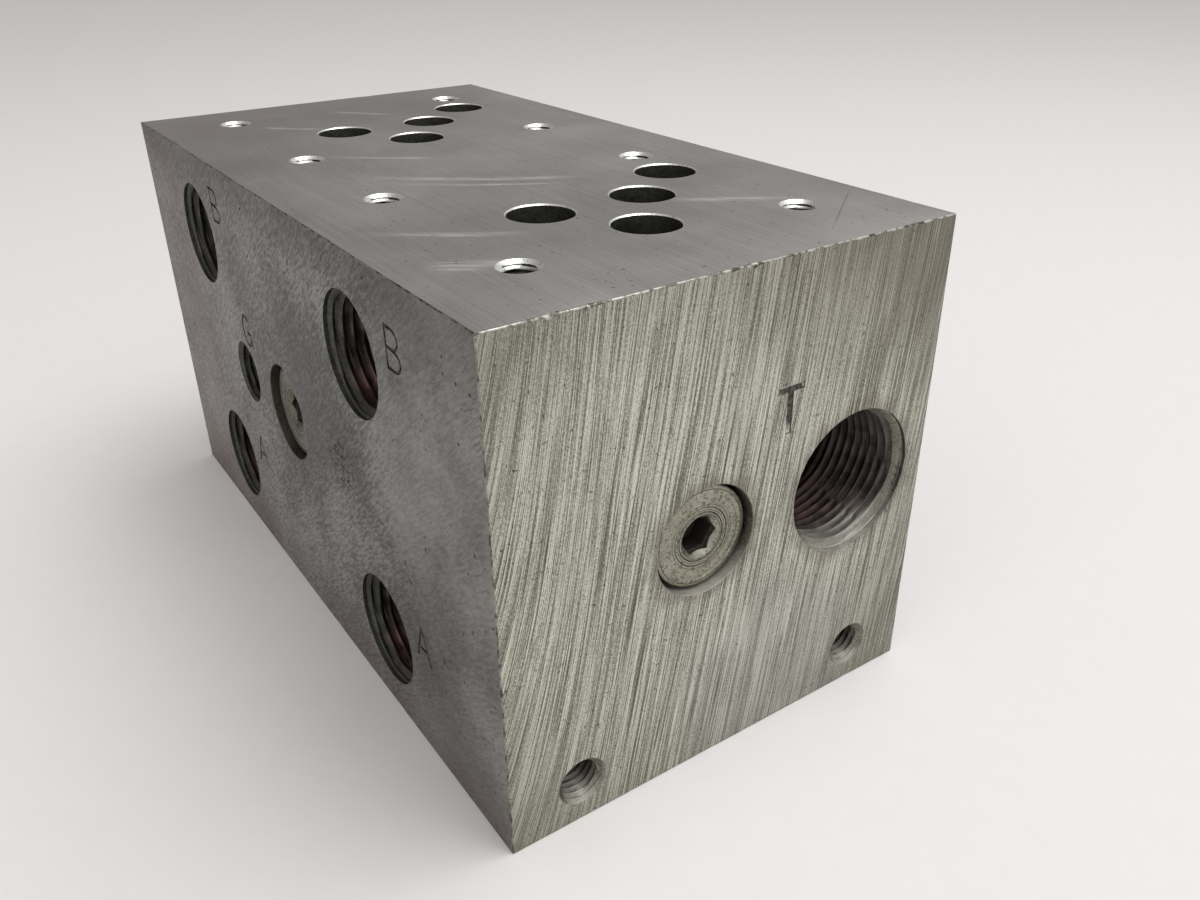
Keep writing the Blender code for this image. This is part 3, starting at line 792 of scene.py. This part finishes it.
# %% Galleries and cross drilling
PLUG_PLACES = {
    "pressure_gallery": ((END_TANK, PRESSURE_GALLERY, GALLERY_HEIGHT), TO_TANK_END),
    "cross_drilling": ((sum(STATIONS) / 2, PORT_FACE, GALLERY_HEIGHT), TO_PORT_FACE),
    "tank_gallery": ((END_PRESSURE, TANK_GALLERY, GALLERY_HEIGHT), TO_PRESSURE_END),
}
COUNTERBORE = 6.5
TAPPED_END = COUNTERBORE + 13.0
gallery_length = END_TANK - END_PRESSURE - 20.0 + DRILL_OVERRUN
lengths = (gallery_length, PRESSURE_GALLERY - PORT_FACE, gallery_length)
for (mouth, outward), length in zip(PLUG_PLACES.values(), lengths):
    drill_hole(mouth, outward,
               [(9.8, 0.0), (9.7, 0.1), (9.7, COUNTERBORE), (6.6, COUNTERBORE),
                (5.9, COUNTERBORE + 0.7), (5.9, TAPPED_END), (5.9, length)],
               columns=64, thread=("G 1/4", TAPPED_END))
print("in all:", len(holes), "holes")

# %% [markdown]
# ## Stamped letters
# Each port's letter was struck with a punch. A stroke is a shallow trough with a flat bottom
# carried along a path, and a path is a straight line or an arc. Only the plain port letters of a
# circuit diagram are struck: A, B, P and T, and G at the gauge port.


# %% Letter strokes
def line(*points):
    """Straight stretch through the given points of the letter's box, one wide and one high."""
    return np.array(points, float)


def arc(centre, reach, start, end):
    """Arc of an ellipse from one angle to another, in degrees."""
    angle = np.radians(np.linspace(start, end, 13))
    return np.asarray(centre) + np.asarray(reach) * np.stack((np.cos(angle), np.sin(angle)), axis=-1)


UPPER_BOWL = np.vstack((
    line((-0.45, 0.47)), arc((0.0, 0.24), (0.40, 0.23), 90, -90), line((-0.45, 0.01))))
LOWER_BOWL = np.vstack((
    line((-0.45, 0.01)), arc((0.04, -0.24), (0.44, 0.23), 90, -90), line((-0.45, -0.47))))
LETTERS = {
    "A": [line((-0.45, -0.5), (0.0, 0.5)), line((0.45, -0.5), (0.0, 0.5)),
          line((-0.28, -0.14), (0.28, -0.14))],
    "B": [line((-0.4, -0.5), (-0.4, 0.5)), UPPER_BOWL, LOWER_BOWL],
    "G": [arc((0.0, 0.0), (0.42, 0.47), 45, 330), line((0.05, -0.05), (0.42, -0.05), (0.42, -0.45))],
    "P": [line((-0.4, -0.5), (-0.4, 0.5)), UPPER_BOWL],
    "T": [line((-0.5, 0.44), (0.5, 0.44)), line((0.0, 0.46), (0.0, -0.5))],
}


def trough(path, width, depth):
    """Closed trough carried along a flat path: wide above the face, narrower at its bottom.

    At each point of the path the outline is set square to the path's direction there.
    """
    steps = np.gradient(path, axis=0)
    steps /= np.linalg.norm(steps, axis=1, keepdims=True)
    normal = np.stack((steps[:, 1], -steps[:, 0]), axis=-1)
    outline = np.array(((-0.56, 0.12), (0.56, 0.12), (0.5, 0.0),
                        (0.36, -1.0), (-0.36, -1.0), (-0.5, 0.0)))
    flat = path[:, None, :] + normal[:, None, :] * outline[None, :, :1] * width
    height = np.broadcast_to(outline[None, :, 1:] * depth, (len(path), len(outline), 1))
    points = np.concatenate((flat, height), axis=-1).reshape(-1, 3)
    faces = grid_faces(len(path), len(outline), closed=True)
    faces += [list(range(len(outline))), list(range(len(points) - len(outline), len(points)))[::-1]]
    return points, faces


def stamp(letter, mouth, outward, shift, size, width, depth=0.25):
    """Add a letter's strokes to be cut, shifted sideways and up from a port's mouth.

    Their bottoms carry how bare they are, in the attribute that the stamp's finish reads.
    """
    for stroke in LETTERS[letter]:
        points, faces = trough(stroke * size + shift, width, depth)
        cutter = make_piece(f"stroke_{letter}", set_out(points, mouth, outward), faces, STAMPED)
        face_outwards(cutter.data)
        bottom = cutter.data.attributes.new("bore_depth", "FLOAT", "POINT")
        bareness = 1.0 if width > 1.0 else 0.5
        bottom.data.foreach_set("value", (points[:, 2] < -depth / 2) * bareness)
        holes.append(cutter)


BESIDE_A = ((18.1, 8.8), (16.4, 7.1))
BESIDE_B = ((16.1, 9.4), (17.7, 6.8))
BESIDE_G = (4.3, 10.8)
BESIDE_END_PORT = (-16.2, 18.3)
for station, beside_a, beside_b in zip(STATIONS, BESIDE_A, BESIDE_B):
    port_x = station + WORKING_PORT_SHIFT
    stamp("A", (port_x, PORT_FACE, PORT_A_HEIGHT), TO_PORT_FACE, beside_a, (5.6, 7.0), 0.65)
    stamp("B", (port_x, PORT_FACE, PORT_B_HEIGHT), TO_PORT_FACE, beside_b, (5.2, 7.0), 0.6)
stamp("G", (GAUGE_X, PORT_FACE, GALLERY_HEIGHT), TO_PORT_FACE, BESIDE_G, (5.6, 7.0), 0.75)
stamp("T", (END_TANK, TANK_GALLERY, GALLERY_HEIGHT), TO_TANK_END,
      BESIDE_END_PORT, (5.7, 8.4), 1.25, depth=0.22)
stamp("P", (END_PRESSURE, PRESSURE_GALLERY, GALLERY_HEIGHT), TO_PRESSURE_END,
      BESIDE_END_PORT, (5.2, 8.4), 1.0, depth=0.22)
print("cutters with the letters:", len(holes))

# %% [markdown]
# ## Cutting
# All holes and strokes are taken from the blank in one go. The solver for closed bodies is quick
# enough for a hundred thousand faces, and each new wall keeps the finish of the body that cut it.

# %% Cut the block
BLOCK_CREASE = math.radians(32)

for hole in holes:
    cut = block.modifiers.new(hole.name, "BOOLEAN")
    cut.operation = "DIFFERENCE"
    cut.solver = "MANIFOLD"
    cut.object = hole
bpy.context.view_layer.update()
graph = bpy.context.evaluated_depsgraph_get()
cut_mesh = bpy.data.meshes.new_from_object(block.evaluated_get(graph))
block.modifiers.clear()
block.data = cut_mesh
cut_mesh.name = "drilled_block"
for hole in holes:
    bpy.data.objects.remove(hole)

flat_finishes = [cut_mesh.materials.find(m.name) for m in (GROUND, SAWN, MILLED)]
indices = np.zeros(len(cut_mesh.polygons), np.int32)
cut_mesh.polygons.foreach_get("material_index", indices)
cut_mesh.polygons.foreach_set("use_smooth", ~np.isin(indices, flat_finishes))
cut_mesh.set_sharp_from_angle(angle=BLOCK_CREASE)
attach(block, "block")
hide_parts("manifold_block")
cut_mesh.calc_loop_triangles()
print("block:", len(cut_mesh.loop_triangles), "triangles")
print("bore_depth kept:", "bore_depth" in cut_mesh.attributes)

# %% [markdown]
# ## Plug and ring finishes
# The plugs are zinc plated: a dull yellowish grey with turned rings, and dirt in every groove.
# The sealing rings are soft, pale metal, pressed flat.


# %% Plug and ring finishes
DULL_PLATING = np.array((0.20, 0.192, 0.145))
BARE_PLATING = np.array((0.47, 0.46, 0.385))
FACE_GROOVES = ((3.95, 0.10), (4.36, 0.15), (4.75, 0.08), (5.2, 0.13), (5.7, 0.07), (8.3, 0.12))


def plated_steel(name, centre, outward, brightness=1.0):
    """Dull plating with turned rings about the plug's own axis, and dirt in the face's grooves.

    radius = the distance from the axis, from the two coordinates that lie across it.
    """
    finish = Finish(name)
    place = finish.millimetres()
    along = abs(outward)
    square = 0.0
    for wire, middle, share in zip(place, centre, 1.0 - along):
        if share > 0.5:
            square = square + (wire - float(middle)) ** 2.0
    radius = square ** 0.5
    x, y, z = place
    rings = finish.noise(radius / 0.16, 0.0, 0.0, detail=2.0)
    bands = finish.noise(radius / 0.9, 2.0, 0.0, detail=1.0)
    stains = finish.noise(x / 2.4, y / 2.4, z / 2.4, detail=4.0, roughness=0.6)
    grain = finish.noise(x / 0.25, y / 0.25, z / 0.25)
    chips = finish.noise(x / 0.5, y / 0.5, z / 0.5, detail=3.0, roughness=0.75)
    specks = finish.rise(chips, 0.53, 0.60)
    # The grime attribute holds dirt in the face's grooves and painted shade in the socket and at the
    # collar's foot.
    grime = finish.rise(finish.attribute("grime") + stains * 0.5, 0.45, 1.0)
    light = rings * 0.25 + bands * 0.15 + stains * 0.4 + grain * 0.2
    dull, bare = DULL_PLATING * brightness, BARE_PLATING * brightness
    base = finish.blend(finish.rise(light, 0.3, 0.7), dull, bare)
    for groove_radius, width in FACE_GROOVES:
        dirt_line = 1.0 - finish.rise(abs(radius - groove_radius), width * 0.4, width)
        dirt_line = dirt_line * finish.rise(stains, 0.30, 0.5)
        base = finish.blend(dirt_line * 0.85, base, (0.05, 0.045, 0.034))
    spotted = finish.blend(specks * 0.75, base, (0.075, 0.066, 0.048))
    grimy = finish.blend(grime, spotted, (0.045, 0.040, 0.034))
    finish.set(colour=grimy, roughness=0.33 + stains * 0.2 + grime * 0.2, metallic=1.0 - grime * 0.5)
    finish.relief(rings * 0.5 + bands * 0.25 + grain * 0.2 - specks * 0.3, 0.02)
    return finish.material


def ring_metal():
    """Pale soft metal with rub marks."""
    finish = Finish("pressed_ring_metal")
    x, y, z = finish.millimetres()
    rubs = finish.noise(x / 1.1, y / 1.1, z / 1.1, detail=3.0)
    base = finish.blend(finish.rise(rubs, 0.3, 0.7), (0.42, 0.40, 0.36), (0.66, 0.64, 0.60))
    finish.set(colour=base, roughness=0.36 + rubs * 0.2)
    finish.relief(rubs, 0.015)
    return finish.material


RING = ring_metal()
print("plug finishes ready")

# %% [markdown]
# ## Screw plugs
# A plug is turned from bar, then a hexagon is pressed into it. On a grid both are one surface:
# from the socket's floor up its wall, out over the face, down the collar and along the thread to
# the tip. In the socket, the radius is the larger of a hexagon's and a cone's.

# %% Plug surface
PLUG_TOP = -1.4
COLLAR_RADIUS = 9.0
COLLAR_UNDER = PLUG_TOP - 3.0
PLUG_TIP = COLLAR_UNDER - 12.0
HEX_ACROSS_FLATS = 6.0
SOCKET_DEPTH = 5.0
SINK_RADIUS = 3.9
PLUG_THREAD_CREST = 6.45
PLUG_THREAD_ROOT = 5.77
PLUG_COLUMNS = 96


def hexagon_radius(columns):
    """Distance from the axis to a hexagon's side at each angle, with a corner on the upright."""
    angle = np.arange(columns) / columns * math.tau
    from_flat = np.mod(angle, math.tau / 6) - math.tau / 12
    return HEX_ACROSS_FLATS / 2 / np.cos(from_flat)


def socket_rows():
    """Radius and height of the socket, from its floor up to the plug's face."""
    hexagon = hexagon_radius(PLUG_COLUMNS)
    floor = np.array(((0.25, 5.45), (1.6, 5.25), (2.7, 5.05)))
    down_wall = (SOCKET_DEPTH, 4.0, 3.0, 2.0, 1.4)
    down_sink = np.arange(1.1, -0.01, -0.08)
    depth = np.concatenate((down_wall, down_sink, (0.0,)))
    wall = np.maximum(hexagon[None, :], (SINK_RADIUS - depth)[:, None])
    rounded_floor = np.repeat(floor[:, :1], PLUG_COLUMNS, axis=1)
    return np.vstack((rounded_floor, wall)), PLUG_TOP - np.concatenate((floor[:, 1], depth))


socket_radius, socket_height = socket_rows()
print("socket:", len(socket_height), "rows of", PLUG_COLUMNS, "points")


# %% [markdown]
# ### Face, collar and thread
# The face has turned grooves and a broken edge. Below the collar is a short relief groove, and
# then the thread starts. Its blank tapers at both ends, so the ridge grows out of the shank
# instead of ending in a step.


# %% Plug outline and thread
def plug_outline():
    """Radius and height from the socket's rim over the face and down the collar to the thread."""
    face = np.array((
        (4.02, 0.0), (4.20, 0.02), (4.32, 0.14), (4.44, 0.02), (5.02, 0.0), (5.14, 0.09),
        (5.26, 0.0), (6.2, 0.0), (6.26, 0.03), (6.34, 0.0), (7.5, 0.0), (7.56, 0.03),
        (7.64, 0.0), (8.62, 0.0), (8.90, 0.14), (COLLAR_RADIUS, 0.40)))
    relief_radius = PLUG_THREAD_ROOT - 0.02
    under = np.array((
        (COLLAR_RADIUS, COLLAR_UNDER + 0.12), (COLLAR_RADIUS - 0.12, COLLAR_UNDER),
        (PLUG_THREAD_ROOT + 0.15, COLLAR_UNDER), (relief_radius, COLLAR_UNDER - 0.15),
        (relief_radius, COLLAR_UNDER - 1.1)))
    return np.vstack((face * (1.0, -1.0) + (0.0, PLUG_TOP), under))


def plug_surface():
    """Whole plug: socket, face and collar, then the thread, trimmed by the blank's outline.

    The thread's radius is the smaller of the blank's and the root plus the wave's height.
    """
    outline = plug_outline()
    turned_radius = np.repeat(outline[:, :1], PLUG_COLUMNS, axis=1)
    pitch = THREADS["G 1/4"][0]
    height = np.arange(outline[-1, 1] - 0.1, PLUG_TIP, -pitch / 6)
    height = np.append(height, PLUG_TIP)
    relief_end = outline[-1, 1]
    blank = np.interp(-height, (-relief_end, -relief_end + 0.8, -PLUG_TIP - 1.1, -PLUG_TIP),
                      (PLUG_THREAD_ROOT - 0.02, PLUG_THREAD_CREST, PLUG_THREAD_CREST, 5.3))
    wave = thread_wave(height, pitch, PLUG_COLUMNS)
    ridge = PLUG_THREAD_ROOT + (PLUG_THREAD_CREST - PLUG_THREAD_ROOT) * wave
    thread = np.minimum(blank[:, None], ridge)
    tip = np.repeat(np.array(((4.6,), (0.3,))), PLUG_COLUMNS, axis=1)
    radius = np.vstack((socket_radius, turned_radius, thread, tip))
    heights = np.concatenate((socket_height, outline[:, 1], height, (PLUG_TIP, PLUG_TIP)))
    return radius, heights


plug_radius, plug_height = plug_surface()
plug_points, plug_faces = turned(plug_radius, plug_height)
print("plug:", len(plug_faces), "faces,", round(PLUG_TOP - plug_height[-1], 2), "mm long")

# %% [markdown]
# ### The three plugs
# Each plug is the same surface, set out at its own mouth. Dirt gathers in the face's grooves, and
# painted shade lies deep in the socket and at the collar's foot, so each point carries how dark it
# is painted. The plug in the port face, on the shaded side, is painted darkest, as shade.


# %% Make the plugs
def dirt_and_shade_on_plug(points):
    """How dark each point is painted: dirt in face grooves, painted shade in the socket and at the
    collar's foot.
    """
    radius = np.hypot(points[:, 0], points[:, 1])
    sink = PLUG_TOP - points[:, 2]
    # Painted shade: deep in the socket and on the collar's side below the face, where it sinks into
    # the counterbore.
    painted_socket_shade = np.clip((sink - 0.9) / 1.6, 0.0, 1.0) * (radius < 4.0)
    in_groove = np.clip(sink / 0.12, 0.0, 1.0) * (radius > 4.1) * (radius < 8.0) * (sink < 0.3) * 0.8
    painted_foot_shade = np.clip((sink - 0.5) / 1.5, 0.0, 0.8) * (radius > 8.5)
    return np.maximum(np.maximum(painted_socket_shade, in_groove), painted_foot_shade)


# Painted shade: the plug in the port face, on the shaded side, gets a darker copy of the plating.
SHADED_SIDE_PLUG_BRIGHTNESS = 0.62
for name, (mouth, outward) in PLUG_PLACES.items():
    in_shaded_face = abs(outward[1]) > 0.5
    brightness = SHADED_SIDE_PLUG_BRIGHTNESS if in_shaded_face else 1.0
    finish = plated_steel(f"{name}_plated_steel", mouth, outward, brightness)
    plug = make_piece(f"{name}_screw", set_out(plug_points, mouth, outward), plug_faces, finish)
    grime = plug.data.attributes.new("grime", "FLOAT", "POINT")
    grime.data.foreach_set("value", dirt_and_shade_on_plug(plug_points))
    face_outwards(plug.data)
    plug.data.shade_smooth()
    plug.data.set_sharp_from_angle(angle=math.radians(35))
    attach(plug, f"{name}_plug")
    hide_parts(f"{name}_plug")
print("plugs:", sorted(PLUG_PLACES))

# %% [markdown]
# ## Sealing rings
# A flat ring, pressed between the collar and the counterbore's floor, with edges that the
# pressure has rounded. Its cross-section is a rounded rectangle, carried around the axis.

# %% Ring surface
RING_INNER, RING_OUTER = 6.85, 9.0
RING_TOP, RING_BOTTOM = COLLAR_UNDER - 0.02, -COUNTERBORE + 0.04
RING_ROUNDING = 0.3


def ring_surface(columns=72):
    """Rounded rectangle around the axis: each corner is a quarter circle of the same radius."""
    middle = np.array(((RING_INNER + RING_OUTER) / 2, (RING_TOP + RING_BOTTOM) / 2))
    reach = np.array((RING_OUTER - RING_INNER, RING_TOP - RING_BOTTOM)) / 2 - RING_ROUNDING
    turn = np.radians(np.linspace(90.0, -270.0, 24, endpoint=False) - 7.5)
    direction = np.stack((np.cos(turn), np.sin(turn)), axis=-1)
    section = middle + np.sign(direction) * reach + direction * RING_ROUNDING
    angle = np.linspace(0.0, math.tau, columns, endpoint=False)
    radius = np.vstack((section[:, :1], section[:1, :1]))
    height = np.vstack((section[:, 1:], section[:1, 1:]))
    points = np.stack(np.broadcast_arrays(
        radius * np.cos(angle), radius * np.sin(angle), height), axis=-1)
    faces = np.array(grid_faces(len(section) + 1, columns, closed=True)) % (len(section) * columns)
    return points[:-1].reshape(-1, 3), faces.tolist()


ring_points, ring_faces = ring_surface()
for name, (mouth, outward) in PLUG_PLACES.items():
    ring = make_piece(f"{name}_ring", set_out(ring_points, mouth, outward), ring_faces, RING)
    ring.data.shade_smooth()
    ring.data.set_sharp_from_angle(angle=math.radians(50))
    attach(ring, f"{name}_seal")
    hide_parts(f"{name}_seal")
print("ring:", len(ring_faces), "faces")

# %% [markdown]
# ## Floor
# A plain pale floor, large enough to fill the view, with the faint unevenness of paper.


# %% Floor
def pale_floor():
    """Matt off-white."""
    finish = Finish("pale_floor", roughness=0.85, metallic=0.0)
    x, y, z = finish.millimetres()
    fibres = finish.noise(x / 6.0, y / 6.0, 0.0, detail=3.0)
    finish.set(colour=finish.blend(fibres, (0.81, 0.80, 0.795), (0.84, 0.83, 0.825)))
    return finish.material


FLOOR_REACH = 4000.0
FLOOR_LINES = 9
reach = np.linspace(-FLOOR_REACH, FLOOR_REACH, FLOOR_LINES)
floor_x, floor_y = np.meshgrid(reach, reach)
floor_points = np.stack((floor_x, floor_y, np.zeros_like(floor_x)), axis=-1).reshape(-1, 3)
floor_faces = np.array(grid_faces(FLOOR_LINES, FLOOR_LINES, closed=False))[:, ::-1].tolist()
floor = make_piece("floor", floor_points, floor_faces, pale_floor())
print("floor:", 2 * FLOOR_REACH * MM, "m wide")

# %% [markdown]
# ## Light
# Steel shows what it mirrors, so the light matters as much as the finish. A large soft lamp above
# and behind on the right makes the end bright and throws the shadow to the front left. The
# surroundings are brighter on that side and dim on the left, where the dark side face looks.


# %% Surroundings and lamps
BRIGHT_SIDE = (0.55, 0.45, 0.55)
DIM_STOP = (0.10, (0.40, 0.375, 0.37, 1.0))
BRIGHT_STOP = (0.75, (1.0, 0.99, 0.97, 1.0))
SKY_STRENGTH = 0.84
AIM = (0.0, 0.0, 0.04)


def soft_surroundings():
    """Background light that changes with direction: bright right and above, dim left.

    Its colour follows the dot product of the direction and the bright side, through two stops.
    """
    world = bpy.data.worlds.new("soft_surroundings")
    bpy.context.scene.world = world
    world.use_nodes = True
    sky = Nodes(world.node_tree)
    direction = sky.node("TexCoord", output="Generated")
    toward = sky.node("VectorMath", {"operation": "DOT_PRODUCT"},
                      {0: direction, 1: BRIGHT_SIDE}, "Value")
    colour = sky.node("ValToRGB", {"stops": (DIM_STOP, BRIGHT_STOP)}, {0: toward})
    background = world.node_tree.nodes["Background"]
    sky.feed(background.inputs["Color"], colour)
    sky.feed(background.inputs["Strength"], SKY_STRENGTH)


def soft_lamp(name, place, aim, width, power):
    """Square area lamp at a place, turned to aim at a point, in metres."""
    lamp = bpy.data.lights.new(name, "AREA")
    lamp.shape = "SQUARE"
    lamp.size = width
    lamp.energy = power
    holder = bpy.data.objects.new(name, lamp)
    bpy.context.scene.collection.objects.link(holder)
    back = np.array(place) - np.array(aim)
    back /= np.linalg.norm(back)
    right = np.cross(UP, back)
    right /= np.linalg.norm(right)
    axes = np.eye(4)
    axes[:3, :3] = np.stack((right, np.cross(back, right), back), axis=-1)
    axes[:3, 3] = place
    holder.matrix_world = Matrix(axes.tolist())


soft_surroundings()
soft_lamp("key_lamp", (0.27, 0.26, 1.05), AIM, width=0.7, power=5.6)
soft_lamp("front_fill", (0.5, -1.1, 1.0), AIM, width=1.0, power=3.2)
print("lamps and surroundings set")

# %% [markdown]
# ## Camera
# It stands in front of the near corner, a little above, close enough for strong perspective.

# %% Camera
CAMERA_PLACE = (0.1855, -0.0957, 0.1345)
CAMERA_AZIMUTH = math.radians(55.97)
CAMERA_ELEVATION = math.radians(28.24)
CAMERA_ROLL = math.radians(-0.795)
CAMERA_LENS = 31.02


def camera_axes(azimuth, elevation, roll):
    """Right, up and back directions of a camera that looks at the origin's side."""
    back = np.array((math.sin(azimuth) * math.cos(elevation),
                     -math.cos(azimuth) * math.cos(elevation), math.sin(elevation)))
    right = np.array((math.cos(azimuth), math.sin(azimuth), 0.0))
    up = np.cross(back, right)
    return (math.cos(roll) * right + math.sin(roll) * up,
            math.cos(roll) * up - math.sin(roll) * right, back)


view = bpy.data.cameras.new("view")
view.lens = CAMERA_LENS
view.sensor_width = 36.0
view.clip_start = 0.01
camera = bpy.data.objects.new("view", view)
bpy.context.scene.collection.objects.link(camera)
placing = np.eye(4)
placing[:3, :3] = np.stack(camera_axes(CAMERA_AZIMUTH, CAMERA_ELEVATION, CAMERA_ROLL), axis=-1)
placing[:3, 3] = CAMERA_PLACE
camera.matrix_world = Matrix(placing.tolist())
bpy.context.scene.camera = camera
bpy.context.scene.view_settings.view_transform = "Standard"
print("camera:", CAMERA_LENS, "mm lens at", CAMERA_PLACE)
